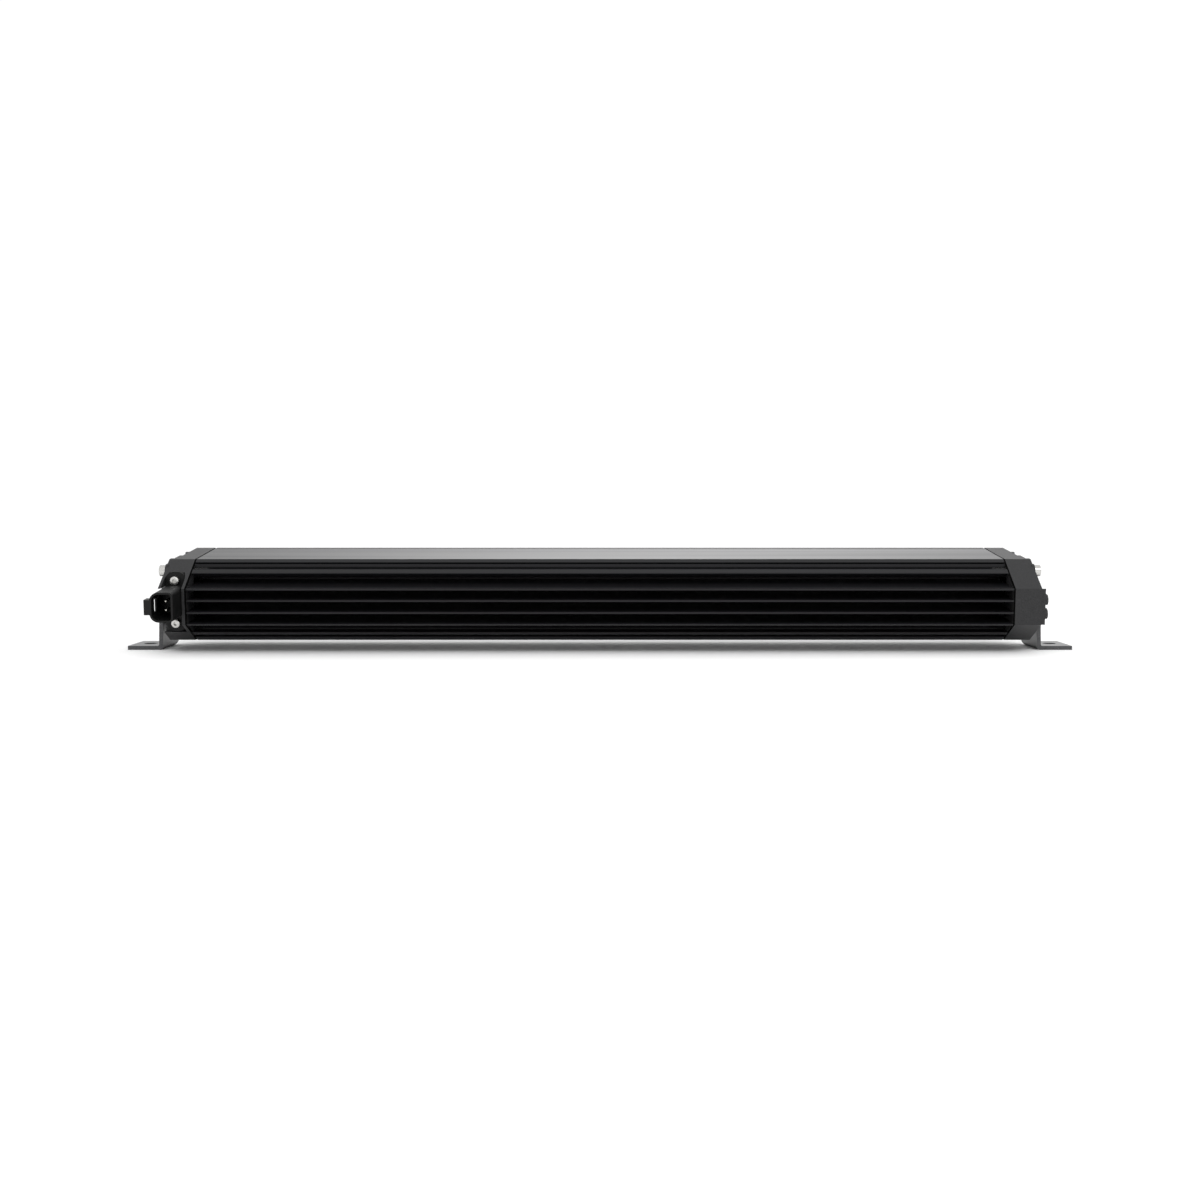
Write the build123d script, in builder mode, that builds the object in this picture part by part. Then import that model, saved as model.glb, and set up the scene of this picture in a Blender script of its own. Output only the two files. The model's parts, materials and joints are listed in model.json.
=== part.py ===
from build123d import *
import math
import os

# A 20 inch LED light bar: an extruded heat sink with an end cap at each end, a row of
# LED reflectors behind a lens at the front, and an L bracket at each end.
#
# The row frame has +X along the bar towards the connector, +Y rearwards and +Z up.
# Its origin is on the ground, halfway between the two foot holes. The bar leans back on
# its pivots, so everything on it is placed by planes of the bar's own frame:
# x along the bar, a rearwards and b up, all measured from the bar's middle line.

# ---- driving dimensions, millimetres and degrees -------------------------------------
BAR_LENGTH = 508.0          # the extrusion between its end caps
LEAN = 6.4                  # the bar's top leans rearwards by this angle on level feet
BAR_HEIGHT = 34.2           # the bar's middle line above the underside of the feet
PIVOT_DROP = 7.0            # the pivots are this far below that line

TOP = 25.5                  # half of the bar's height
FRONT = -31.5               # the foremost plane of the bezel
SHOULDER = 17.2             # where the flat top ends and the upper rear facet starts
REAR = 43.5                 # the rearmost plane
REAR_TOP = 11.2             # the rear plane's upper edge
REAR_BOTTOM = -11.3         # the rear plane's lower edge
HEEL = 20.8                 # where the lower rear facet meets the flat underside

BEZEL_DEPTH = 6.0
SINK_FRONT = FRONT + BEZEL_DEPTH
FLANGE_WALL = 8.5           # the sink's thick wall behind the bezel
FLANGE_DEPTH = 11.5
TOP_WALL = 2.0
BOTTOM_WALL = 3.0
WEB_FRONT = 2.0             # the plate that carries the LED board
WEB_REAR = 8.0
RIB_TOP = 20.4              # the thick rib under the screw channel
RIB_THICKNESS = 2.3
FIN_THICKNESS = 1.2
TIP_RADIUS = 0.35           # the die rounds every rear edge
FIN_LEVELS = (10.6, 3.5, -4.0, -11.3)

M4_RADIUS = 1.95
M4_PORT_RADIUS = 2.0
M4_HEAD_RADIUS = 3.5
M4_HEAD_HEIGHT = 4.0
M3_RADIUS = 1.45
M3_HOLE_RADIUS = 1.5
M3_HEAD_RADIUS = 2.75
M3_HEAD_HEIGHT = 3.0

CAP_LENGTH = 17.2           # from the extrusion's end to the cap's outer face
CAP_WALL = 3.0
CAP_EDGE = 4.0              # chamfer along the cap's top, bottom and front edges
CAP_CORNER = 3.4            # it stops this far short of the rear corners
LUG_SPANS = ((-15.7, -12.7), (-0.3, 11.4))  # lugs that cross it, along the top and bottom
FRONT_LUG_PITCH = 14.3
FRONT_LUG_WIDTH = 9.0
PAD_RISE = 2.4              # the raised pad at the rear of the plain cap's outer face
PAD_LUG_RISE = 4.3
GASKET_THICKNESS = 0.8
SHADOW_GAP = 0.9
SHADOW_GAP_DEPTH = 0.6

CUP_PITCH = 37.5
CUPS_PER_MODULE = 3
MODULES = 4
CUP_RIM_RADIUS = 16.2
CUP_NECK_RADIUS = 4.5
CUP_FRONT = -24.0
CUP_REAR = -1.2
CUP_WALL = 1.0
BOARD_THICKNESS = 1.6

SOCKET_X = 263.2            # the connector's own axis, along the bar
SOCKET_B = 2.7
SCREW_B = 1.3               # the middle of its two flange screws
FLANGE_SCREW_PITCH = 26.8
POCKET_FLOOR = 28.8         # the floor of the recess that the connector sits in
RECESS_HALF = 6.4           # half of that recess's width
RECESS_SILL = -17.8         # its lower edge
SOCKET_RIM = 60.5
PIN_PITCH = 5.6

BRACKET_INNER = 276.5
SHEET = 2.5                 # bracket sheet steel
FOOT_END = 298.8
FOOT_HALF = 15.5
FOOT_HOLE_X = 289.0
FOOT_HOLE_RADIUS = 4.25
ARM_FRONT = -25.0
ARM_CORNER = 15.0
PIVOT_BUSH_RADIUS = 5.2
PIVOT_CLEARANCE = 0.05
PIVOT_BOSS = 276.2          # the outer face of the cap's pivot boss
PIVOT_BOSS_RADIUS = 12.0
M8_RADIUS = 4.0

END = BAR_LENGTH / 2
CAP_FACE = END + CAP_LENGTH
BRACKET_OUTER = BRACKET_INNER + SHEET
LEAN_SIN = math.sin(math.radians(LEAN))
LEAN_COS = math.cos(math.radians(LEAN))
PIVOT = (PIVOT_DROP * LEAN_SIN / LEAN_COS, -PIVOT_DROP)     # (rearwards, up)
PIVOT_HEIGHT = BAR_HEIGHT - PIVOT_DROP / LEAN_COS

# the four end-cap screws, as (rearwards, up)
CAP_SCREWS = ((21.3, 18.8), (19.0, -18.8), (-19.5, 21.0), (-19.5, -21.0))
PAD_SEAT = CAP_FACE + 0.8   # the upper rear screw's head stands on a low round pad
SUNK_SEAT = CAP_FACE - 6.2  # the other three sit in counterbores
SCREW_SEATS = (PAD_SEAT, SUNK_SEAT, SUNK_SEAT, SUNK_SEAT)
SCREW_TIP = END - 8.8
BEZEL_SCREW_X = (-225, -112.5, 0, 112.5, 225)
BEZEL_SCREW_B = 22.6
BOARD_SCREWS = [(k * CUP_PITCH, side * 13) for k in (-5, -1, 1, 5) for side in (1, -1)]
FLANGE_SCREWS = [(SOCKET_X, SCREW_B + end * FLANGE_SCREW_PITCH / 2) for end in (1, -1)]
PIN_LEVELS = (SOCKET_B + PIN_PITCH / 2, SOCKET_B - PIN_PITCH / 2)

bar = Plane(origin=(0, 0, BAR_HEIGHT), x_dir=(1, 0, 0), z_dir=(0, LEAN_SIN, LEAN_COS))


def across(x):
    """The bar's cross-section at x: rearwards is the first axis and up is the second."""
    return Plane(origin=bar.from_local_coords((x, 0, 0)), x_dir=bar.y_dir, z_dir=bar.x_dir)


def upright(a):
    """The plane across the light's beam at a: along the bar, then up, facing forwards."""
    return Plane(origin=bar.from_local_coords((0, a, 0)), x_dir=bar.x_dir, z_dir=-bar.y_dir)


def beam_axis(x, b):
    """The line along the light's beam through a point of the bar."""
    return Axis(bar.from_local_coords((x, 0, b)), bar.y_dir)


def save(piece, name):
    """Label a finished piece and write it as the node of that name."""
    piece.part.label = name
    export_step(piece.part, f"parts/{name}.step")


os.makedirs("parts", exist_ok=True)

# ---- heat sink: one extruded length, with its fins running along the bar ---------------


def rear_gap(a, b):
    """How far a point of the section lies inside the bar's rear facets and rear plane."""
    facet_length = math.hypot(REAR - SHOULDER, TOP - REAR_TOP)
    facet = ((SHOULDER - a) * (TOP - REAR_TOP) + (TOP - b) * (REAR - SHOULDER)) / facet_length
    return min(REAR - a, facet)


with BuildPart() as heat_sink:
    with BuildSketch(across(-END)) as heat_sink_section:
        # top and bottom walls, web and thick front flanges
        with Locations((0, TOP - TOP_WALL / 2)):
            Rectangle(2 * REAR, TOP_WALL)
        with Locations((0, -TOP + BOTTOM_WALL / 2)):
            Rectangle(2 * REAR, BOTTOM_WALL)
        with Locations(((WEB_FRONT + WEB_REAR) / 2, 0)):
            Rectangle(WEB_REAR - WEB_FRONT, 2 * TOP)
        for side in (1, -1):
            with Locations((SINK_FRONT + FLANGE_DEPTH / 2, side * (TOP - FLANGE_WALL / 2))):
                Rectangle(FLANGE_DEPTH, FLANGE_WALL)
            # the thick rib, and the round wall of the screw port in it
            with Locations(((WEB_REAR + REAR) / 2, side * (RIB_TOP - RIB_THICKNESS / 2))):
                Rectangle(REAR - WEB_REAR, RIB_THICKNESS)
        for a, b in CAP_SCREWS[:2]:
            with Locations((a, b)):
                Circle(M4_PORT_RADIUS + 2.2)
        for level in FIN_LEVELS:
            with Locations(((WEB_REAR + REAR) / 2, level)):
                Rectangle(REAR - WEB_REAR, FIN_THICKNESS)
        # the screw channels open through the rear facets
        for (a, b), side, wall in zip(CAP_SCREWS[:2], (1, -1), (TOP_WALL, BOTTOM_WALL)):
            channel = TOP - wall - RIB_TOP
            with Locations((a, side * RIB_TOP)):
                Rectangle(REAR, channel, align=(Align.MIN, Align.MIN if side > 0 else Align.MAX),
                          mode=Mode.SUBTRACT)
        with Locations(*CAP_SCREWS):
            Circle(M4_PORT_RADIUS, mode=Mode.SUBTRACT)
        # everything is trimmed to the bar's outline
        with BuildLine():
            Polyline((SINK_FRONT, TOP), (SHOULDER, TOP), (REAR, REAR_TOP), (REAR, REAR_BOTTOM),
                     (HEEL, -TOP), (SINK_FRONT, -TOP), close=True)
        make_face(mode=Mode.INTERSECT)
        # rounded fin tips and rib edges, along the rear facets
        fillet(heat_sink_section.vertices().filter_by(
            lambda corner: rear_gap(corner.X, abs(corner.Y)) < 0.01), TIP_RADIUS)
    extrude(amount=BAR_LENGTH)
    # tapped holes for the bezel screws and the board screws
    with BuildSketch(upright(SINK_FRONT)):
        with Locations(*[(x, side * BEZEL_SCREW_B) for x in BEZEL_SCREW_X for side in (1, -1)]):
            Circle(M3_HOLE_RADIUS)
    extrude(amount=-3.5, mode=Mode.SUBTRACT)
    with BuildSketch(upright(WEB_FRONT)):
        with Locations(*BOARD_SCREWS):
            Circle(M3_HOLE_RADIUS)
    extrude(amount=-4.5, mode=Mode.SUBTRACT)
save(heat_sink, "heat_sink")

# ---- end caps: die castings that close the extrusion and carry the pivots --------------
OUTLINE = [(FRONT, TOP), (SHOULDER, TOP), (REAR, REAR_TOP), (REAR, REAR_BOTTOM),
           (HEEL, -TOP), (FRONT, -TOP)]
POCKET = [(FRONT + CAP_WALL, TOP - CAP_WALL), (SHOULDER - 1, TOP - CAP_WALL),
          (25.3, TOP - CAP_WALL - 4.5), (25.3, -TOP + CAP_WALL + 3.5),
          (HEEL - 1, -TOP + CAP_WALL), (FRONT + CAP_WALL, -TOP + CAP_WALL)]
POCKET_DEPTH = CAP_LENGTH - CAP_WALL - CAP_EDGE + 1
DEEP_POCKET = [(-20, 15.5), (25.3, 15.5), (25.3, -15.5), (-20, -15.5)]

for side, cap_name in ((1, "connector_end_cap"), (-1, "plain_end_cap")):
    outward = side * CAP_LENGTH
    # the inner pocket, open to the extrusion, round the pivot's boss and the screws' bosses;
    # its middle is deeper, clear of the chamfers outside
    with BuildPart() as hollow:
        for pocket, depth in ((POCKET, POCKET_DEPTH), (DEEP_POCKET, CAP_LENGTH - CAP_WALL)):
            with BuildSketch(across(side * END)):
                with BuildLine():
                    Polyline(*pocket, close=True)
                make_face()
            extrude(amount=side * depth)
        with BuildSketch(across(side * END)):
            with Locations(PIVOT):
                Circle(8)
            with Locations(*CAP_SCREWS):
                Circle(4.6)
        extrude(amount=side * CAP_LENGTH, mode=Mode.SUBTRACT)
    with BuildPart() as cap:
        with BuildSketch(across(side * END)):
            with BuildLine():
                Polyline(*OUTLINE, close=True)
            make_face()
        extrude(amount=outward)
        # shadow gap round the joint with the extrusion
        with BuildSketch(across(side * END)):
            with BuildLine():
                Polyline(*OUTLINE, close=True)
            make_face()
            offset(amount=-SHADOW_GAP_DEPTH, mode=Mode.SUBTRACT)
        extrude(amount=side * SHADOW_GAP, mode=Mode.SUBTRACT)
        # chamfers round the outer face: along the top and bottom, and down the front
        for edge in (1, -1):
            with BuildSketch(upright(SHOULDER - CAP_CORNER)):
                with BuildLine():
                    Polyline((side * (CAP_FACE + 1), edge * (TOP - CAP_EDGE - 1)),
                             (side * (CAP_FACE - CAP_EDGE - 1), edge * (TOP + 1)),
                             (side * (CAP_FACE + 1), edge * (TOP + 1)), close=True)
                make_face()
            extrude(amount=SHOULDER - CAP_CORNER - FRONT + 1, mode=Mode.SUBTRACT)
        with BuildSketch(bar.offset(-TOP - 1)):
            with BuildLine():
                Polyline((side * (CAP_FACE + 1), FRONT + CAP_EDGE + 1),
                         (side * (CAP_FACE - CAP_EDGE - 1), FRONT - 1),
                         (side * (CAP_FACE + 1), FRONT - 1), close=True)
            make_face()
        extrude(amount=2 * TOP + 2, mode=Mode.SUBTRACT)
        # lugs that cross the chamfers
        with BuildSketch(across(side * (CAP_FACE - CAP_EDGE - 3))):
            for edge in (1, -1):
                for start, end in LUG_SPANS:
                    with Locations(((start + end) / 2, edge * (TOP - CAP_EDGE))):
                        Rectangle(end - start, 2 * CAP_EDGE - 0.6)
            for b in (-FRONT_LUG_PITCH, 0, FRONT_LUG_PITCH):
                with Locations((FRONT + CAP_EDGE, b)):
                    Rectangle(2 * CAP_EDGE - 0.6, FRONT_LUG_WIDTH)
        extrude(amount=side * (CAP_EDGE + 1.5))
        # round boss that the bracket bears on, and the pad under the upper rear screw
        with BuildSketch(across(side * (CAP_FACE - 4))):
            with Locations(PIVOT):
                Circle(PIVOT_BOSS_RADIUS)
        extrude(amount=side * (PIVOT_BOSS - CAP_FACE + 4))
        with BuildSketch(across(side * (CAP_FACE - 1))):
            with Locations(CAP_SCREWS[0]):
                Circle(M4_HEAD_RADIUS + 0.8)
        extrude(amount=side * (PAD_SEAT - CAP_FACE + 1))
        if side < 0:
            # raised pad with two rounded grip ribs at the rear of the outer face
            with BuildSketch(across(side * (CAP_FACE - 1))):
                with BuildLine():
                    Polyline((REAR - 16, 8), (REAR - 0.5, REAR_TOP), (REAR - 0.5, REAR_BOTTOM),
                             (REAR - 16, -8), close=True)
                make_face()
            extrude(amount=side * (1 + PAD_RISE))
            with BuildSketch(across(side * (CAP_FACE - 1))):
                for b in (3.7, -5.0):
                    with Locations((REAR - 8.5, b)):
                        SlotOverall(15, 6.6)
            extrude(amount=side * (1 + PAD_LUG_RISE))
        add(hollow.part, mode=Mode.SUBTRACT)
        # shallow seat for the gasket
        with BuildSketch(across(side * END)):
            with Locations(((SINK_FRONT + WEB_REAR) / 2, 0)):
                Rectangle(WEB_REAR - SINK_FRONT, 2 * TOP - 2.6)
        extrude(amount=side * GASKET_THICKNESS, mode=Mode.SUBTRACT)
        if side > 0:
            # recess at the rear outer corner for the connector, rounded over its top screw
            with BuildSketch(upright(POCKET_FLOOR)):
                with Locations((SOCKET_X - RECESS_HALF, RECESS_SILL)):
                    Rectangle(20, REAR_TOP - RECESS_SILL, align=(Align.MIN, Align.MIN))
                with Locations((SOCKET_X, RECESS_SILL)):
                    Rectangle(2 * RECESS_HALF, FLANGE_SCREWS[0][1] - RECESS_SILL,
                              align=(Align.CENTER, Align.MIN))
                with Locations(FLANGE_SCREWS[0]):
                    Circle(RECESS_HALF)
            extrude(amount=-(REAR - POCKET_FLOOR + 2), mode=Mode.SUBTRACT)
            # way through for the connector's tail, and its tapped holes
            with BuildSketch(upright(POCKET_FLOOR)):
                with Locations((SOCKET_X, SOCKET_B)):
                    RectangleRounded(9.4, 12.4, 2)
            extrude(amount=10, mode=Mode.SUBTRACT)
            with BuildSketch(upright(POCKET_FLOOR)):
                with Locations(*FLANGE_SCREWS):
                    Circle(M3_HOLE_RADIUS)
            extrude(amount=3.4, mode=Mode.SUBTRACT)
        # through holes for the end-cap screws and the tapped hole for the pivot bolt
        with BuildSketch(across(side * END)):
            with Locations(*CAP_SCREWS):
                Circle(M4_PORT_RADIUS + 0.2)
        extrude(amount=side * (CAP_LENGTH + 5), mode=Mode.SUBTRACT)
        for spot, seat in zip(CAP_SCREWS, SCREW_SEATS):
            with BuildSketch(across(side * seat)):
                with Locations(spot):
                    Circle(M4_HEAD_RADIUS + 0.3)
            extrude(amount=side * 12, mode=Mode.SUBTRACT)
        with BuildSketch(across(side * (END + 5))):
            with Locations(PIVOT):
                Circle(M8_RADIUS + 0.05)
        extrude(amount=side * 20, mode=Mode.SUBTRACT)
    save(cap, cap_name)

# ---- end gaskets: silicone sheet between each cap and the sink's front chamber ---------
for side, gasket_name in ((1, "connector_end_gasket"), (-1, "plain_end_gasket")):
    with BuildPart() as end_gasket:
        with BuildSketch(across(side * END)):
            with Locations(((SINK_FRONT + WEB_REAR) / 2, 0)):
                Rectangle(WEB_REAR - SINK_FRONT - 0.4, 2 * TOP - 3)
            with Locations(((SINK_FRONT + FLANGE_DEPTH + WEB_FRONT) / 2, 0)):
                Rectangle(WEB_FRONT - SINK_FRONT - FLANGE_DEPTH, 2 * (TOP - CAP_WALL),
                          mode=Mode.SUBTRACT)
            with Locations((SINK_FRONT + FLANGE_DEPTH / 2 + 0.8, 0)):
                Rectangle(FLANGE_DEPTH, 2 * (TOP - FLANGE_WALL), mode=Mode.SUBTRACT)
            with Locations(*CAP_SCREWS[2:]):
                Circle(M4_PORT_RADIUS + 0.2, mode=Mode.SUBTRACT)
        extrude(amount=side * GASKET_THICKNESS)
    save(end_gasket, gasket_name)

# ---- end-cap screws: four stainless M4 socket-head screws at each end ------------------
for side, screw_name in ((1, "connector_cap_screws"), (-1, "plain_cap_screws")):
    with BuildPart() as cap_screws:
        for spot, seat in zip(CAP_SCREWS, SCREW_SEATS):
            with BuildSketch(across(side * SCREW_TIP)):
                with Locations(spot):
                    Circle(M4_RADIUS)
            extrude(amount=side * (seat - SCREW_TIP))
            with BuildSketch(across(side * seat)):
                with Locations(spot):
                    Circle(M4_HEAD_RADIUS)
            extrude(amount=side * M4_HEAD_HEIGHT)
            with BuildSketch(across(side * (seat + M4_HEAD_HEIGHT))):
                with Locations(spot):
                    RegularPolygon(M4_HEAD_RADIUS / 2, 6)
            extrude(amount=-side * M4_HEAD_HEIGHT / 2, mode=Mode.SUBTRACT)
    save(cap_screws, screw_name)

# ---- front bezel, lens and lens gasket -------------------------------------------------
LENS_HALF_LENGTH = 241.5
LENS_HALF_HEIGHT = 19.3
LENS_THICKNESS = 3.2
LENS_FRONT = FRONT + 2.1
WINDOW_HALF_LENGTH = 236.0
WINDOW_HALF_HEIGHT = 16.6

with BuildPart() as front_bezel:
    with BuildSketch(upright(FRONT)):
        Rectangle(BAR_LENGTH - 0.4, 2 * TOP)
        RectangleRounded(2 * WINDOW_HALF_LENGTH, 2 * WINDOW_HALF_HEIGHT, 5, mode=Mode.SUBTRACT)
    extrude(amount=-BEZEL_DEPTH)
    with BuildSketch(upright(FRONT + 2)):
        RectangleRounded(2 * LENS_HALF_LENGTH + 0.6, 2 * LENS_HALF_HEIGHT + 0.6, 6)
    extrude(amount=-BEZEL_DEPTH, mode=Mode.SUBTRACT)
    for radius, depth in ((M3_HOLE_RADIUS + 0.15, BEZEL_DEPTH), (2.6, 2.4)):
        with BuildSketch(upright(FRONT)):
            with Locations(*[(x, side * BEZEL_SCREW_B) for x in BEZEL_SCREW_X
                             for side in (1, -1)]):
                Circle(radius)
        extrude(amount=-depth, mode=Mode.SUBTRACT)
save(front_bezel, "front_bezel")

with BuildPart() as bezel_screws:
    with BuildSketch(upright(FRONT + 2.3)):
        with Locations(*[(x, side * BEZEL_SCREW_B) for x in BEZEL_SCREW_X for side in (1, -1)]):
            Circle(M3_RADIUS)
    extrude(amount=-6.5)
    with BuildSketch(upright(FRONT + 0.4)):
        with Locations(*[(x, side * BEZEL_SCREW_B) for x in BEZEL_SCREW_X for side in (1, -1)]):
            Circle(2.5)
            RegularPolygon(1.15, 6, mode=Mode.SUBTRACT)
    extrude(amount=-1.9)
save(bezel_screws, "bezel_screws")

with BuildPart() as lens_cover:
    with BuildSketch(upright(LENS_FRONT)):
        RectangleRounded(2 * LENS_HALF_LENGTH, 2 * LENS_HALF_HEIGHT, 5.5)
    extrude(amount=-LENS_THICKNESS)
save(lens_cover, "lens_cover")

with BuildPart() as lens_gasket:
    with BuildSketch(upright(LENS_FRONT + LENS_THICKNESS)):
        RectangleRounded(2 * LENS_HALF_LENGTH - 1, 2 * LENS_HALF_HEIGHT - 0.4, 5)
        RectangleRounded(2 * WINDOW_HALF_LENGTH, 2 * WINDOW_HALF_HEIGHT + 1.2, 4,
                         mode=Mode.SUBTRACT)
    extrude(amount=-(SINK_FRONT - LENS_FRONT - LENS_THICKNESS))
save(lens_gasket, "lens_gasket")

# ---- LED board, LEDs and their screws --------------------------------------------------
CUP_COUNT = MODULES * CUPS_PER_MODULE
CUP_X = [(k - (CUP_COUNT - 1) / 2) * CUP_PITCH for k in range(CUP_COUNT)]
BOARD_FRONT = WEB_FRONT - BOARD_THICKNESS
BOARD_HALF_LENGTH = 223.0

with BuildPart() as led_board:
    with BuildSketch(upright(BOARD_FRONT)):
        Rectangle(2 * BOARD_HALF_LENGTH, 33.2)
        with Locations(*BOARD_SCREWS):
            Circle(M3_HOLE_RADIUS + 0.1, mode=Mode.SUBTRACT)
    extrude(amount=-BOARD_THICKNESS)
save(led_board, "led_board")

with BuildPart() as led_packages:
    with BuildSketch(upright(BOARD_FRONT)):
        with Locations(*[(x, 0) for x in CUP_X]):
            Rectangle(5.4, 5.4)
    extrude(amount=0.9)
    with BuildSketch(upright(BOARD_FRONT - 0.9)):
        with Locations(*[(x, 0) for x in CUP_X]):
            Circle(2.4)
    extrude(amount=1.6, taper=22)
save(led_packages, "led_packages")

with BuildPart() as board_screws:
    with BuildSketch(upright(BOARD_FRONT)):
        with Locations(*BOARD_SCREWS):
            Circle(M3_RADIUS)
    extrude(amount=-6)
    with BuildSketch(upright(BOARD_FRONT)):
        with Locations(*BOARD_SCREWS):
            Circle(M3_HEAD_RADIUS)
            RegularPolygon(1.2, 6, mode=Mode.SUBTRACT)
    extrude(amount=1.8)
save(board_screws, "board_screws")

# ---- reflectors: four moulded strips of three metallised cups --------------------------
for module in range(MODULES):
    cups = CUP_X[module * CUPS_PER_MODULE:(module + 1) * CUPS_PER_MODULE]
    middle = cups[CUPS_PER_MODULE // 2]
    with BuildPart() as reflector:
        with BuildSketch(upright(CUP_FRONT)):
            with Locations((middle, 0)):
                Rectangle(CUPS_PER_MODULE * CUP_PITCH - 0.4, 33.2)
            with Locations(*[(x, 0) for x in cups]):
                Circle(CUP_RIM_RADIUS - CUP_WALL, mode=Mode.SUBTRACT)
        extrude(amount=-1.2)
        for x in cups:
            with BuildSketch(bar):
                with BuildLine():
                    inner = ThreePointArc((x + CUP_RIM_RADIUS - CUP_WALL, CUP_FRONT),
                                          (x + 9.6, -9.2), (x + CUP_NECK_RADIUS, CUP_REAR))
                    outer_arc = ThreePointArc((x + CUP_RIM_RADIUS, CUP_FRONT),
                                              (x + 10.7, -8.9),
                                              (x + CUP_NECK_RADIUS + CUP_WALL, CUP_REAR))
                    Line(inner @ 0, outer_arc @ 0)
                    Line(inner @ 1, outer_arc @ 1)
                make_face()
            revolve(axis=beam_axis(x, 0), revolution_arc=360)
        # two feet between the cups stand on the LED board
        with BuildSketch(upright(CUP_FRONT + 1)):
            with Locations((middle - CUP_PITCH / 2, 0), (middle + CUP_PITCH / 2, 0)):
                Circle(1.9)
        extrude(amount=-(BOARD_FRONT - CUP_FRONT - 1))
    save(reflector, f"reflector_{module + 1}")

# ---- driver: a small board on four standoffs at the connector end ----------------------
DRIVER_X = 238.5
DRIVER_FRONT = -3.6
STANDOFFS = [(DRIVER_X + i * 9, j * 13) for i in (1, -1) for j in (1, -1)]

with BuildPart() as driver_standoffs:
    with BuildSketch(upright(WEB_FRONT)):
        with Locations(*STANDOFFS):
            RegularPolygon(2.6, 6)
    extrude(amount=WEB_FRONT - DRIVER_FRONT - BOARD_THICKNESS)
    with BuildSketch(upright(DRIVER_FRONT + BOARD_THICKNESS)):
        with Locations(*STANDOFFS):
            Circle(1.2)
    extrude(amount=BOARD_THICKNESS + 0.4)
    with BuildSketch(upright(DRIVER_FRONT)):
        with Locations(*STANDOFFS):
            Circle(2.3)
    extrude(amount=1.4)
save(driver_standoffs, "driver_standoffs")

with BuildPart() as driver_board:
    with BuildSketch(upright(DRIVER_FRONT)):
        with Locations((DRIVER_X, 0)):
            Rectangle(25, 33)
        with Locations(*STANDOFFS):
            Circle(1.3, mode=Mode.SUBTRACT)
    extrude(amount=-BOARD_THICKNESS)
save(driver_board, "driver_board")

with BuildPart() as driver_components:
    # inductor, two capacitors, controller and two transistors
    for x, b, radius, height in ((-5, -5, 5.5, 7), (5.5, -6, 3.2, 10), (5.5, 6, 3.2, 10)):
        with BuildSketch(upright(DRIVER_FRONT)):
            with Locations((DRIVER_X + x, b)):
                Circle(radius)
        extrude(amount=height)
    for x, b, width, height, rise in ((-4.5, 5, 6, 5, 1.6), (0, 13, 6.5, 5, 2.2),
                                      (0, -14, 6.5, 4, 2.2)):
        with BuildSketch(upright(DRIVER_FRONT)):
            with Locations((DRIVER_X + x, b)):
                Rectangle(width, height)
        extrude(amount=rise)
save(driver_components, "driver_components")

# ---- power connector: flanged two-pin receptacle in the cap's recess -------------------
SEAL = 0.8
FLANGE_REAR = POCKET_FLOOR + SEAL + 3.2
FLANGE_WIDTH = 2 * RECESS_HALF - 0.6
FLANGE_HEIGHT = FLANGE_SCREW_PITCH + 10.6
SHROUD_INNER = 258.4        # the socket's cavity, along the bar
SHROUD_OUTER = 270.2
SHROUD_WALL = 1.2
SHROUD_HALF = 9.2           # half of the shroud's height
LEDGE_LENGTH = 6.3          # the latch ledge, at the rim
LEDGE_END = 274.8
WINDOW_LENGTH = 4.8         # the window in the outboard wall, under the ledge
WINDOW_HEIGHT = 7.8
CAVITY_FLOOR = POCKET_FLOOR + 7
TAIL_END = 20.0
PIN_RADIUS = 0.75
PIN_TIP = 54.5
INBOARD_RADIUS = 1.4        # the cavity's corners
OUTBOARD_RADIUS = 4.3
shroud_middle = (SHROUD_INNER + SHROUD_OUTER) / 2
shroud_width = SHROUD_OUTER - SHROUD_INNER + 2 * SHROUD_WALL

with BuildPart() as connector_gasket:
    with BuildSketch(upright(POCKET_FLOOR)):
        with Locations((SOCKET_X, SCREW_B)):
            RectangleRounded(FLANGE_WIDTH - 0.2, FLANGE_HEIGHT - 0.2, 4.9)
        with Locations((SOCKET_X, SOCKET_B)):
            RectangleRounded(9.4, 12.4, 2, mode=Mode.SUBTRACT)
        with Locations(*FLANGE_SCREWS):
            Circle(M3_HOLE_RADIUS + 0.1, mode=Mode.SUBTRACT)
    extrude(amount=-SEAL)
save(connector_gasket, "connector_gasket")

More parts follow.
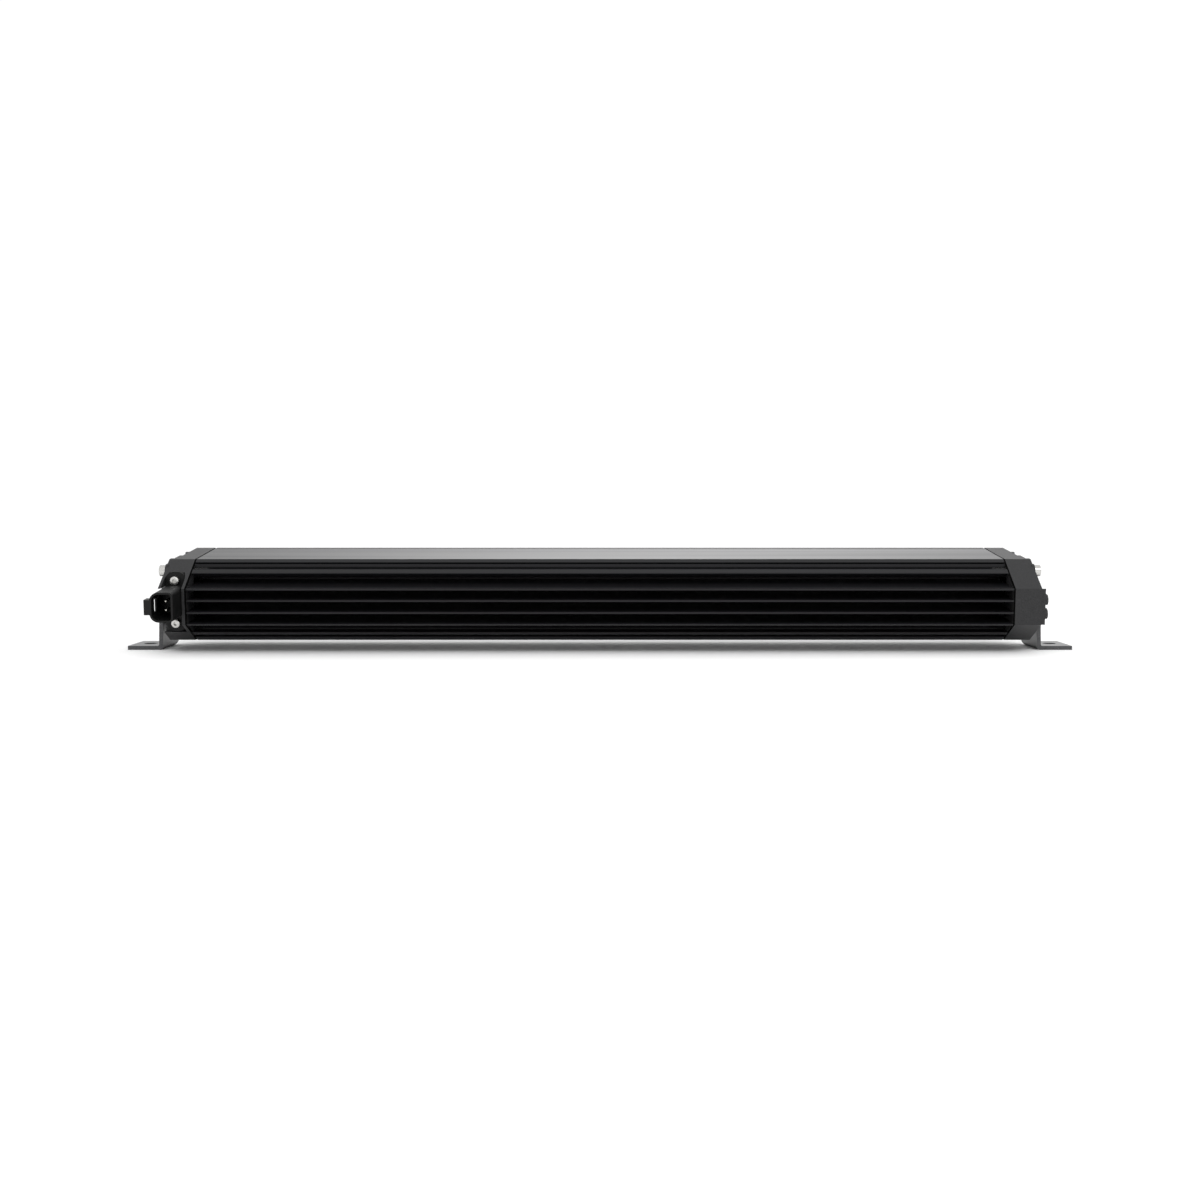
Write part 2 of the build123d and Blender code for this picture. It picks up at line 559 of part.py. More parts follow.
with BuildPart() as connector_housing:
    # flange and the tail that passes into the cap
    with BuildSketch(upright(POCKET_FLOOR + SEAL)):
        with Locations((SOCKET_X, SCREW_B)):
            RectangleRounded(FLANGE_WIDTH, FLANGE_HEIGHT, 5)
        with Locations(*FLANGE_SCREWS):
            Circle(M3_HOLE_RADIUS + 0.1, mode=Mode.SUBTRACT)
    extrude(amount=-(FLANGE_REAR - POCKET_FLOOR - SEAL))
    with BuildSketch(upright(TAIL_END)):
        with Locations((SOCKET_X, SOCKET_B)):
            RectangleRounded(9, 12, 1.8)
    extrude(amount=-(POCKET_FLOOR + SEAL - TAIL_END + 0.5))
    # shroud
    with BuildSketch(upright(FLANGE_REAR - 0.5)) as shroud_section:
        with Locations((shroud_middle, SOCKET_B)):
            shroud = Rectangle(shroud_width, 2 * SHROUD_HALF)
            fillet(shroud.vertices().sort_by(Axis.X)[:2], INBOARD_RADIUS + SHROUD_WALL)
            fillet(shroud_section.vertices().sort_by(Axis.X)[-2:],
                   OUTBOARD_RADIUS + SHROUD_WALL)
    extrude(amount=-(SOCKET_RIM - FLANGE_REAR + 0.5))
    # ledge for the plug's latch, on the outboard wall at the rim
    with BuildSketch(upright(SOCKET_RIM - LEDGE_LENGTH)):
        with Locations((SHROUD_OUTER + SHROUD_WALL / 2, SOCKET_B)):
            Rectangle(LEDGE_END - SHROUD_OUTER - SHROUD_WALL / 2, 9.3,
                      align=(Align.MIN, Align.CENTER))
    extrude(amount=-LEDGE_LENGTH)
    # cavity, the window under the ledge, and the pin holes
    with BuildSketch(upright(CAVITY_FLOOR)) as cavity_section:
        with Locations((shroud_middle, SOCKET_B)):
            cavity = Rectangle(SHROUD_OUTER - SHROUD_INNER, 2 * (SHROUD_HALF - SHROUD_WALL))
            fillet(cavity.vertices().sort_by(Axis.X)[:2], INBOARD_RADIUS)
            fillet(cavity_section.vertices().sort_by(Axis.X)[-2:], OUTBOARD_RADIUS)
    extrude(amount=-(SOCKET_RIM - CAVITY_FLOOR), mode=Mode.SUBTRACT)
    with BuildSketch(upright(SOCKET_RIM - LEDGE_LENGTH - WINDOW_LENGTH)):
        with Locations((SHROUD_OUTER - 1, SOCKET_B)):
            Rectangle(4, WINDOW_HEIGHT, align=(Align.MIN, Align.CENTER))
    extrude(amount=-WINDOW_LENGTH, mode=Mode.SUBTRACT)
    with BuildSketch(upright(TAIL_END)):
        with Locations(*[(SOCKET_X, level) for level in PIN_LEVELS]):
            Circle(PIN_RADIUS + 0.05)
    extrude(amount=-(CAVITY_FLOOR - TAIL_END), mode=Mode.SUBTRACT)
save(connector_housing, "connector_housing")

with BuildPart() as connector_wedge:
    with BuildSketch(upright(CAVITY_FLOOR)):
        with Locations((SOCKET_X, SOCKET_B)):
            RectangleRounded(7.6, 13.4, 1)
        with Locations(*[(SOCKET_X, level) for level in PIN_LEVELS]):
            Circle(PIN_RADIUS + 0.2, mode=Mode.SUBTRACT)
    extrude(amount=-5)
save(connector_wedge, "connector_wedge")

with BuildPart() as connector_pins:
    with BuildSketch(upright(TAIL_END - 2)):
        with Locations(*[(SOCKET_X, level) for level in PIN_LEVELS]):
            Circle(PIN_RADIUS)
    extrude(amount=-(PIN_TIP - TAIL_END + 2))
    pin_tips = connector_pins.faces().sort_by(Axis(bar.origin, bar.y_dir))[-2:]
    chamfer(pin_tips.edges(), 0.3)
save(connector_pins, "connector_pins")

with BuildPart() as connector_screws:
    with BuildSketch(upright(POCKET_FLOOR - 3)):
        with Locations(*FLANGE_SCREWS):
            Circle(M3_RADIUS)
    extrude(amount=-(FLANGE_REAR - POCKET_FLOOR + 3))
    with BuildSketch(upright(FLANGE_REAR)):
        with Locations(*FLANGE_SCREWS):
            Circle(M3_HEAD_RADIUS)
    extrude(amount=-M3_HEAD_HEIGHT)
    with BuildSketch(upright(FLANGE_REAR + M3_HEAD_HEIGHT)):
        with Locations(*FLANGE_SCREWS):
            RegularPolygon(M3_HEAD_RADIUS / 2, 6)
    extrude(amount=M3_HEAD_HEIGHT / 2, mode=Mode.SUBTRACT)
save(connector_screws, "connector_screws")

# ---- internal leads from the connector's pins to the driver board ----------------------
LEAD_RADIUS = 0.9
PAD_X = DRIVER_X + 10.8
for lead_name, level, run_b, pad_b in (("positive_lead", PIN_LEVELS[0], 14.5, 8),
                                       ("negative_lead", PIN_LEVELS[1], 5.5, -8)):
    lead_start = TAIL_END - 2.1
    lead_points = [bar.from_local_coords(point) for point in (
        (SOCKET_X, lead_start, level),
        (SOCKET_X, lead_start - 5, level),
        (SOCKET_X - 2, 3, run_b),
        (SOCKET_X - 10, -9, run_b),
        (PAD_X, -9, pad_b),
        (PAD_X, DRIVER_FRONT - 0.05, pad_b))]
    with BuildPart() as lead:
        with BuildLine() as route:
            FilletPolyline(*lead_points, radius=2.2)
        start = Plane(origin=lead_points[0], z_dir=lead_points[1] - lead_points[0])
        with BuildSketch(start):
            Circle(LEAD_RADIUS)
        sweep(path=route.wire())
    save(lead, lead_name)

# ---- pivots: button-head bolt, washer and bush at each end -----------------------------
BUSH_LENGTH = 3.1
WASHER = 1.6
HEAD_RADIUS = 7.0
HEAD_HEIGHT = 4.4
HEAD_RIM = 1.4              # the upright edge under the domed part
washer_start = PIVOT_BOSS + BUSH_LENGTH
head_start = washer_start + WASHER
head_end = head_start + HEAD_HEIGHT
pivot_middle = bar.from_local_coords((0, *PIVOT))

for side, end_name in ((1, "connector_end"), (-1, "plain_end")):
    with BuildPart() as bush:
        with BuildSketch(across(side * PIVOT_BOSS)):
            with Locations(PIVOT):
                Circle(PIVOT_BUSH_RADIUS)
                Circle(M8_RADIUS + 0.05, mode=Mode.SUBTRACT)
        extrude(amount=side * BUSH_LENGTH)
    save(bush, f"{end_name}_pivot_bush")

    with BuildPart() as washer:
        with BuildSketch(across(side * washer_start)):
            with Locations(PIVOT):
                Circle(9)
                Circle(M8_RADIUS + 0.2, mode=Mode.SUBTRACT)
        extrude(amount=side * WASHER)
    save(washer, f"{end_name}_pivot_washer")

    with BuildPart() as pivot_bolt:
        with BuildSketch(across(side * (END + 5.5))):
            with Locations(PIVOT):
                Circle(M8_RADIUS - 0.03)
        extrude(amount=side * (head_start - END - 5.5))
        # domed head with a hexagon socket
        with BuildSketch(Plane(pivot_middle, x_dir=bar.x_dir, z_dir=bar.z_dir)):
            with BuildLine():
                crown = HEAD_RADIUS * 0.55
                Line((side * head_start, 0), (side * head_start, HEAD_RADIUS))
                Line((side * head_start, HEAD_RADIUS), (side * (head_start + HEAD_RIM), HEAD_RADIUS))
                ThreePointArc((side * (head_start + HEAD_RIM), HEAD_RADIUS),
                              (side * (head_end - 0.9), HEAD_RADIUS * 0.83),
                              (side * head_end, crown))
                Line((side * head_end, crown), (side * head_end, 0))
                Line((side * head_end, 0), (side * head_start, 0))
            make_face()
        revolve(axis=Axis(pivot_middle, bar.x_dir), revolution_arc=360)
        with BuildSketch(across(side * head_end)):
            with Locations(PIVOT):
                RegularPolygon(2.5, 6, major_radius=False)
        extrude(amount=-side * 2.6, mode=Mode.SUBTRACT)
    save(pivot_bolt, f"{end_name}_pivot_bolt")

# ---- brackets: folded sheet, a tall arm on the pivot and a flat foot with one hole -----
for side, bracket_name in ((1, "connector_end_bracket"), (-1, "plain_end_bracket")):
    with BuildPart() as bracket:
        with BuildSketch(Plane.YZ.offset(side * BRACKET_INNER)):
            with BuildLine():
                Line((FOOT_HALF, 0), (FOOT_HALF, PIVOT_HEIGHT))
                ThreePointArc((FOOT_HALF, PIVOT_HEIGHT), (0, PIVOT_HEIGHT + FOOT_HALF),
                              (-FOOT_HALF, PIVOT_HEIGHT))
                Line((-FOOT_HALF, PIVOT_HEIGHT), (ARM_FRONT, ARM_CORNER + 4))
                Line((ARM_FRONT, ARM_CORNER + 4), (ARM_FRONT, ARM_CORNER))
                RadiusArc((ARM_FRONT, ARM_CORNER), (ARM_FRONT + ARM_CORNER, 0), -ARM_CORNER)
                Line((ARM_FRONT + ARM_CORNER, 0), (FOOT_HALF, 0))
            make_face()
            with Locations((0, PIVOT_HEIGHT)):
                Circle(PIVOT_BUSH_RADIUS + PIVOT_CLEARANCE, mode=Mode.SUBTRACT)
        extrude(amount=side * SHEET)
        with BuildSketch(Plane.XY):
            with Locations((side * (BRACKET_INNER + FOOT_END) / 2, 0)):
                Rectangle(FOOT_END - BRACKET_INNER, 2 * FOOT_HALF)
            with Locations((side * FOOT_HOLE_X, 0)):
                Circle(FOOT_HOLE_RADIUS, mode=Mode.SUBTRACT)
        extrude(amount=SHEET)
        # the sheet's bend, rounded inside and out
        bend = bracket.edges().filter_by(Axis.Y).filter_by(
            lambda edge: edge.length > 20)
        fillet(bend.filter_by(lambda edge: abs(edge.center().Z - SHEET) < 0.01
                              and abs(abs(edge.center().X) - BRACKET_OUTER) < 0.01), 1.0)
        bend = bracket.edges().filter_by(Axis.Y).filter_by(
            lambda edge: edge.length > 20)
        fillet(bend.filter_by(lambda edge: abs(edge.center().Z) < 0.01
                              and abs(abs(edge.center().X) - BRACKET_INNER) < 0.01), 2.2)
    save(bracket, bracket_name)
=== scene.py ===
import json
import math

import bpy
from mathutils import Matrix, Vector


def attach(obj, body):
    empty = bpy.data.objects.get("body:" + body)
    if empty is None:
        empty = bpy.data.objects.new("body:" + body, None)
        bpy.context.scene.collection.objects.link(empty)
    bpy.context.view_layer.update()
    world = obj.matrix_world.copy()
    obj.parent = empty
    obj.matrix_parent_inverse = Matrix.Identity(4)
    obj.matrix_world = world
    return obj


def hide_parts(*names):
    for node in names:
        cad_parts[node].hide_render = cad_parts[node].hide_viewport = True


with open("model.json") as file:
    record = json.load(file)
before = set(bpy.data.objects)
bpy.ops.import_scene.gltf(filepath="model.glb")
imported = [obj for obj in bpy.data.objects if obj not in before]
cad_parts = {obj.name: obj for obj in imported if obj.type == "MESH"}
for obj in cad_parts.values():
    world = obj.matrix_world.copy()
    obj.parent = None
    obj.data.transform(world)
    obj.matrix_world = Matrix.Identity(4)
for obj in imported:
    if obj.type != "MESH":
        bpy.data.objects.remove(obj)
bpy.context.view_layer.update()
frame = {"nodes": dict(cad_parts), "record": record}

# ---- heat sink -------------------------------------------------------------------------
# One extruded length of 6063 aluminium, sawn at both ends and anodised satin black.
# The die leaves fine lines along its whole length. Everything else is fixed to it.

DIE_LINE = 0.0026           # metres between lines, drawn coarser than the real 0.2 mm
DIE_LINE_RUN = 0.35         # metres before a line fades


def linear(code):
    """An sRGB hex colour as linear red, green, blue and alpha."""
    parts = [int(code[i:i + 2], 16) / 255 for i in (1, 3, 5)]
    return [c / 12.92 if c <= 0.04045 else ((c + 0.055) / 1.055) ** 2.4 for c in parts] + [1.0]


def add(tree, kind, inputs=None, **settings):
    """Add a node with its settings, and give its inputs values or links from other nodes."""
    made = tree.nodes.new(kind)
    for name, value in settings.items():
        setattr(made, name, value)
    for name, value in (inputs or {}).items():
        if isinstance(value, bpy.types.NodeSocket):
            tree.links.new(value, made.inputs[name])
        else:
            made.inputs[name].default_value = value
    return made


def finish(name, **constants):
    """A new material with constants on its surface shader, its node tree and the shader."""
    made = bpy.data.materials.new(name)
    made.use_nodes = True
    shader = made.node_tree.nodes["Principled BSDF"]
    for socket, value in constants.items():
        shader.inputs[socket.replace("_", " ")].default_value = value
    return made, made.node_tree, shader


def grain(tree, shader, scale, colours, roughness, relief, detail=3.0):
    """Vary a surface by one noise: its colour, its roughness, and its height in metres."""
    place = add(tree, "ShaderNodeTexCoord").outputs["Object"]
    spread = add(tree, "ShaderNodeMapping", {"Vector": place, "Scale": scale})
    noise = add(tree, "ShaderNodeTexNoise",
                {"Vector": spread.outputs["Vector"], "Scale": 1.0, "Detail": detail})
    level = noise.outputs["Fac"]
    ramp = add(tree, "ShaderNodeValToRGB", {"Fac": level})
    ramp.color_ramp.elements[0].position = 0.3
    ramp.color_ramp.elements[0].color = linear(colours[0])
    ramp.color_ramp.elements[1].position = 0.7
    ramp.color_ramp.elements[1].color = linear(colours[1])
    tree.links.new(ramp.outputs["Color"], shader.inputs["Base Color"])
    gloss = add(tree, "ShaderNodeMapRange",
                {"Value": level, "To Min": roughness[0], "To Max": roughness[1]})
    tree.links.new(gloss.outputs["Result"], shader.inputs["Roughness"])
    bump = add(tree, "ShaderNodeBump", {"Height": level, "Strength": 1.0, "Distance": relief})
    tree.links.new(bump.outputs["Normal"], shader.inputs["Normal"])


def coat(node_name, material):
    """Give a CAD node its finish."""
    slots = frame["nodes"][node_name].data.materials
    slots.clear()
    slots.append(material)


# black anodised, extruded: a dark satin skin whose lengthwise die lines streak the sheen
anodised, tree, shader = finish("anodised_extruded_aluminium", IOR=1.28)
grain(tree, shader, (1 / DIE_LINE_RUN, 1 / DIE_LINE, 1 / DIE_LINE), ("#101011", "#1c1c1f"),
      (0.26, 0.42), 0.000012)
coat("heat_sink", anodised)

# ---- LED board -------------------------------------------------------------------------
# An aluminium-core board with white solder mask, screwed flat to the sink's web.
# The mask is even and slightly glossy, so the board helps the reflectors.

solder_mask, tree, shader = finish("white_solder_mask", IOR=1.5)
grain(tree, shader, (400, 400, 400), ("#dcdcd6", "#efefea"), (0.28, 0.36), 0.000004)
coat("led_board", solder_mask)

# ---- LED packages ----------------------------------------------------------------------
# Twelve white LEDs soldered to the board, one behind each reflector cup.
# Each is a square ceramic base with a disc of yellow phosphor under a clear silicone dome.

LEAN = math.radians(6.4)    # the bar leans back by this on its pivots
BAR_HEIGHT = 0.0342         # its middle line above the ground
OUTWARD = Vector((1, 0, 0))
REARWARD = Vector((0, math.cos(LEAN), -math.sin(LEAN)))
UPWARD = Vector((0, math.sin(LEAN), math.cos(LEAN)))
LED_PITCH = 37.5            # millimetres from here on
LED_COUNT = 12
LED_BASE = 5.4              # its side
LED_BASE_HEIGHT = 0.9
LED_DOME = (2.35, 1.5)      # its radius and height
BOARD_FRONT = 0.4           # the board's face, rearwards of the middle line
BODY_OF = {node: body for body, nodes in frame["record"]["behaviour"]["bodies"].items()
           for node in nodes}


def pick(*objects):
    """Select only these objects and make the first one active."""
    bpy.ops.object.select_all(action="DESELECT")
    for chosen in objects:
        chosen.select_set(True)
    bpy.context.view_layer.objects.active = objects[0]


def edit(made, *steps):
    """Run edit-mode steps on one object, each a function, with everything selected first."""
    pick(made)
    bpy.ops.object.mode_set(mode="EDIT")
    bpy.ops.mesh.select_all(action="SELECT")
    for step in steps:
        step()
    bpy.ops.object.mode_set(mode="OBJECT")


def turn(name, rings, sides, material):
    """Turn a solid on the upright axis through rings of (radius, height) in millimetres."""
    bpy.ops.object.select_all(action="DESELECT")
    radius, height = rings[0]
    bpy.ops.mesh.primitive_circle_add(vertices=sides, radius=radius / 1000, fill_type="NGON",
                                      location=(0, 0, height / 1000))
    made = bpy.context.active_object
    made.name = name
    bpy.ops.object.mode_set(mode="EDIT")
    for next_radius, next_height in rings[1:]:
        bpy.ops.mesh.extrude_region_move(
            TRANSFORM_OT_translate={"value": (0, 0, (next_height - height) / 1000)})
        bpy.ops.transform.resize(value=(next_radius / radius, next_radius / radius, 1))
        radius, height = next_radius, next_height
    bpy.ops.mesh.select_all(action="SELECT")
    bpy.ops.mesh.normals_make_consistent(inside=False)
    bpy.ops.object.mode_set(mode="OBJECT")
    made.data.materials.append(material)
    pick(made)
    bpy.ops.object.transform_apply(location=True, rotation=True, scale=True)
    bpy.ops.object.shade_smooth_by_angle(angle=math.radians(38))
    return made


def fix(made, x, a, b, way):
    """Put a piece made upright at the origin on the bar at x, a rearwards and b up, in mm."""
    spot = Vector((x / 1000, 0, BAR_HEIGHT)) + REARWARD * a / 1000 + UPWARD * b / 1000
    made.matrix_world = Matrix.Translation(spot) @ way.to_track_quat("Z", "Y").to_matrix().to_4x4()
    pick(made)
    bpy.ops.object.transform_apply(location=True, rotation=True, scale=True)


def repeat(made, name, places, way):
    """Copy a piece to each (x, a, b), and join the copies into one object of that name."""
    copies = []
    for x, a, b in places:
        other = made.copy()
        other.data = made.data.copy()
        bpy.context.scene.collection.objects.link(other)
        fix(other, x, a, b, way)
        copies.append(other)
    bpy.data.objects.remove(made)
    pick(*copies)
    bpy.ops.object.join()
    joined = bpy.context.active_object
    joined.name = name
    return joined


def stand_for(piece, node_name):
    """A detailed piece takes a CAD node's place and body, and the node is hidden."""
    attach(piece, BODY_OF[node_name])
    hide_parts(node_name)


# alumina ceramic: white, matt and even
ceramic, tree, shader = finish("alumina_ceramic", IOR=1.76)
grain(tree, shader, (3000, 3000, 3000), ("#dad9d2", "#ecebe6"), (0.5, 0.62), 0.000002)
# phosphor in silicone: a granular deep yellow
phosphor, tree, shader = finish("yellow_phosphor", IOR=1.41)
grain(tree, shader, (9000, 9000, 9000), ("#d9a91c", "#f0cf4a"), (0.45, 0.6), 0.000003)
# moulded silicone dome: water clear and smooth
dome_silicone, tree, shader = finish("clear_silicone_dome", IOR=1.41, Roughness=0.03)
shader.inputs["Transmission Weight"].default_value = 1.0
shader.inputs["Base Color"].default_value = linear("#fdfcf6")

bpy.ops.object.select_all(action="DESELECT")
bpy.ops.mesh.primitive_cube_add(size=1, location=(0, 0, LED_BASE_HEIGHT / 2000),
                                scale=(LED_BASE / 1000, LED_BASE / 1000, LED_BASE_HEIGHT / 1000))
led_base = bpy.context.active_object
bpy.ops.object.transform_apply(location=True, rotation=True, scale=True)
edit(led_base, lambda: bpy.ops.mesh.bevel(offset=0.00012, segments=2))
led_base.data.materials.append(ceramic)
led_disc = turn("led_disc", [(1.9, LED_BASE_HEIGHT - 0.05), (1.9, LED_BASE_HEIGHT + 0.1)], 24,
                phosphor)
dome_rings = [(LED_DOME[0] * math.cos(math.radians(t)),
               LED_BASE_HEIGHT + LED_DOME[1] * math.sin(math.radians(t)))
              for t in (0, 15, 30, 45, 58, 70, 80, 87)]
led_dome = turn("led_dome", dome_rings, 28, dome_silicone)
pick(led_base, led_disc, led_dome)
bpy.ops.object.join()
led_places = [((k - (LED_COUNT - 1) / 2) * LED_PITCH, BOARD_FRONT, 0) for k in range(LED_COUNT)]
leds = repeat(led_base, "ceramic_leds", led_places, -REARWARD)
stand_for(leds, "led_packages")

# ---- board screws ----------------------------------------------------------------------
# Short stainless M3 button-head screws, eight of them, that press the board to the web.
# Their heads are turned and their hexagon sockets are struck cold.


def socket_screw(name, shank, head, hexagon, pitch, length, knurled=False, domed=0.0):
    """A socket screw, its underhead at the origin and its head upwards, in millimetres."""
    head_radius, head_height = head
    rings = [(shank * 0.7, -length)]
    turns = int((length - 0.8) / pitch)
    for k in range(turns):
        rings += [(shank * 0.86, -length + 0.4 + k * pitch),
                  (shank, -length + 0.4 + (k + 0.5) * pitch)]
    rings += [(shank * 0.86, -length + 0.4 + turns * pitch), (shank, -0.05), (shank, 0)]
    if domed:
        rings += [(head_radius, 0.02), (head_radius, head_height * 0.3)]
        rings += [(head_radius - domed * (1 - math.cos(t)), head_height * (0.3 + 0.7 * math.sin(t)))
                  for t in (0.4, 0.8, 1.2, 1.5)]
    else:
        rings += [(head_radius - 0.15, 0.0), (head_radius, 0.15),
                  (head_radius, head_height - 0.4), (head_radius - 0.12, head_height - 0.15),
                  (head_radius - 0.4, head_height)]
    made = turn(name, rings, 48, stainless)
    if knurled:
        rim = head_radius / 1000
        for vertex in made.data.vertices:
            flat = math.hypot(vertex.co.x, vertex.co.y)
            step = round(math.atan2(vertex.co.y, vertex.co.x) / math.radians(7.5))
            vertex.select = abs(flat - rim) < 0.00001 and step % 2 == 0
        for edge in made.data.edges:
            edge.select = False
        for face in made.data.polygons:
            face.select = False
        pick(made)
        bpy.ops.object.mode_set(mode="EDIT")
        bpy.ops.transform.resize(value=(0.965, 0.965, 1), center_override=(0, 0, 0))
        bpy.ops.object.mode_set(mode="OBJECT")
    bpy.ops.object.select_all(action="DESELECT")
    bpy.ops.mesh.primitive_cylinder_add(vertices=6, radius=hexagon / math.sqrt(3) / 1000,
                                        depth=head_height / 1000,
                                        location=(0, 0, head_height / 1000))
    punch = bpy.context.active_object
    punch.data.materials.append(stainless)
    cut = made.modifiers.new("socket", "BOOLEAN")
    cut.object = punch
    cut.operation = "DIFFERENCE"
    pick(made)
    bpy.ops.object.modifier_apply(modifier="socket")
    bpy.data.objects.remove(punch)
    return made


# A2 stainless steel, turned and passivated: bright grey with a faint satin
stainless, tree, shader = finish("passivated_stainless_steel", Metallic=1.0)
grain(tree, shader, (2500, 2500, 2500), ("#b4b3b0", "#d2d1ce"), (0.2, 0.32), 0.0000015)

M3 = 1.45                   # the thread's radius
M3_PITCH = 0.5
board_screw = socket_screw("board_screw", M3, (2.75, 1.8), 2.0, M3_PITCH, 5.9, domed=1.4)
board_screw_places = [(k * LED_PITCH, BOARD_FRONT, side * 13) for k in (-5, -1, 1, 5)
                      for side in (1, -1)]
stand_for(repeat(board_screw, "board_button_screws", board_screw_places, -REARWARD),
          "board_screws")

# ---- reflectors ------------------------------------------------------------------------
# Four strips of three parabolic cups, injection moulded in polycarbonate.
# The cups are vacuum metallised and lacquered, so they are mirror bright.


def eased(node_name, radius, material, dissolve=1.0):
    """A welded copy of a CAD node, its sharp edges eased to a radius in mm, in its place."""
    made = bpy.data.objects.new(f"{node_name}_finished", frame["nodes"][node_name].data.copy())
    bpy.context.scene.collection.objects.link(made)
    edit(made, lambda: bpy.ops.mesh.remove_doubles(threshold=0.000001),
         lambda: bpy.ops.mesh.dissolve_limited(angle_limit=math.radians(dissolve)))
    if radius:
        bevel = made.modifiers.new("edges", "BEVEL")
        bevel.width = radius / 1000
        bevel.segments = 2
        bevel.limit_method = "ANGLE"
        bevel.angle_limit = math.radians(24)
        bevel.use_clamp_overlap = True
        bpy.ops.object.modifier_apply(modifier="edges")
    bpy.ops.object.shade_smooth_by_angle(angle=math.radians(38))
    weights = made.modifiers.new("flat_faces", "WEIGHTED_NORMAL")
    weights.keep_sharp = True
    bpy.ops.object.modifier_apply(modifier="flat_faces")
    made.data.materials.clear()
    made.data.materials.append(material)
    stand_for(made, node_name)
    return made


# aluminium evaporated on a smooth moulding, under clear lacquer: a near-perfect mirror
metallised, tree, shader = finish("vacuum_metallised_polycarbonate", Metallic=1.0)
grain(tree, shader, (150, 150, 150), ("#dddee0", "#ebecee"), (0.05, 0.09), 0.000001)
for number in range(1, 5):
    eased(f"reflector_{number}", 0, metallised, 0.05)

# ---- lens and its gasket ---------------------------------------------------------------
# A flat sheet of clear polycarbonate with a hard coat, seated on a strip of silicone.
# The bezel clamps both against the extrusion.

# hard-coated polycarbonate: clear and glossy
polycarbonate, tree, shader = finish("hard_coated_polycarbonate", IOR=1.585, Roughness=0.02)
shader.inputs["Transmission Weight"].default_value = 1.0
shader.inputs["Base Color"].default_value = linear("#fafcfd")
place = add(tree, "ShaderNodeTexCoord").outputs["Object"]
ripple = add(tree, "ShaderNodeTexNoise", {"Vector": place, "Scale": 40.0, "Detail": 1.0})
bump = add(tree, "ShaderNodeBump",
           {"Height": ripple.outputs["Fac"], "Strength": 1.0, "Distance": 0.000004})
tree.links.new(bump.outputs["Normal"], shader.inputs["Normal"])
eased("lens_cover", 0.4, polycarbonate)

# silicone sheet: dark grey and matt, with a faint talc bloom
silicone, tree, shader = finish("silicone_rubber_sheet", IOR=1.41)
grain(tree, shader, (1500, 1500, 1500), ("#1c1c1d", "#2b2b2c"), (0.7, 0.85), 0.000008)
for node_name in ("lens_gasket", "connector_end_gasket", "plain_end_gasket",
                  "connector_gasket"):
    coat(node_name, silicone)

# ---- front bezel and its screws --------------------------------------------------------
# A cast frame with a black powder coat, held by ten stainless M3 button-head screws.
# Its top edge shows as a fine dark strip along the front of the bar.

GRIT = 0.0007               # metres across one bump of the coat's orange peel

# polyester powder coat on a casting: charcoal, fine-grained and low in gloss
powder_coat, tree, shader = finish("powder_coated_casting", IOR=1.33)
grain(tree, shader, (1 / GRIT, 1 / GRIT, 1 / GRIT), ("#1c1c1d", "#2c2c2d"), (0.4, 0.56),
      0.00002, 4.0)
eased("front_bezel", 0.5, powder_coat)

BEZEL_SEAT = -29.2          # the plane its screws bear on
BEZEL_SCREW_RISE = 22.6     # above and below the middle line
BEZEL_SCREW_PITCH = 112.5
bezel_screw = socket_screw("bezel_screw", M3, (2.5, 1.9), 2.0, M3_PITCH, 6.0, domed=1.0)
bezel_screw_places = [(k * BEZEL_SCREW_PITCH, BEZEL_SEAT, side * BEZEL_SCREW_RISE)
                      for k in range(-2, 3) for side in (1, -1)]
stand_for(repeat(bezel_screw, "bezel_button_screws", bezel_screw_places, -REARWARD),
          "bezel_screws")

# ---- end caps --------------------------------------------------------------------------
# Two die castings with the same coat that close the extrusion and carry the pivots.
# Every outer edge has the small radius that a die and a thick coat leave.

# painted shade in the shadow gap at the joint with the extrusion: dead black and almost without
# sheen, so the groove reads as lying in shade
painted_joint_shade, tree, shader = finish("painted_shade_in_joint", IOR=1.05)
grain(tree, shader, (1800, 1800, 1800), ("#050505", "#0a0a0a"), (0.9, 1.0), 0.00002)

# the band of the joint's shadow gap, whose faces get the painted shade
JOINT_SHADE_BAND = (0.25401, 0.25495)  # where the joint lies, from the middle of the bar
for node_name in ("connector_end_cap", "plain_end_cap"):
    cap = eased(node_name, 0.3, powder_coat)
    cap.data.materials.append(painted_joint_shade)
    # faces inside the joint's shadow gap take the painted shade
    for face in cap.data.polygons:
        if JOINT_SHADE_BAND[0] < abs(face.center.x) < JOINT_SHADE_BAND[1]:
            face.material_index = 1

# ---- end-cap screws --------------------------------------------------------------------
# Four stainless M4 socket-head screws at each end run through the cap into the
# extrusion's screw ports. Their heads are knurled; the upper rear ones stand proud.

M4 = 1.95                   # the thread's radius
M4_PITCH = 0.7
M4_HEAD = (3.5, 4.0)        # its radius and height
M4_HEXAGON = 3.0
PROUD_PLACE = (21.3, 18.8)  # rearwards and up
SUNK_PLACES = ((19.0, -18.8), (-19.5, 21.0), (-19.5, -21.0))
PAD_SEAT = 272.0            # where the proud heads bear, from the middle of the bar
SUNK_SEAT = 265.0           # where the sunk ones do
SCREW_TIP = 245.2
for end, node_name in ((1, "connector_cap_screws"), (-1, "plain_cap_screws")):
    long_screw = socket_screw("long_screw", M4, M4_HEAD, M4_HEXAGON, M4_PITCH,
                              PAD_SEAT - SCREW_TIP, True)
    short_screw = socket_screw("short_screw", M4, M4_HEAD, M4_HEXAGON, M4_PITCH,
                               SUNK_SEAT - SCREW_TIP, True)
    proud = repeat(long_screw, "proud", [(end * PAD_SEAT, *PROUD_PLACE)], end * OUTWARD)
    sunk = repeat(short_screw, "sunk", [(end * SUNK_SEAT, *place) for place in SUNK_PLACES],
                  end * OUTWARD)
    pick(proud, sunk)
    bpy.ops.object.join()
    proud.name = f"{node_name}_knurled"
    stand_for(proud, node_name)

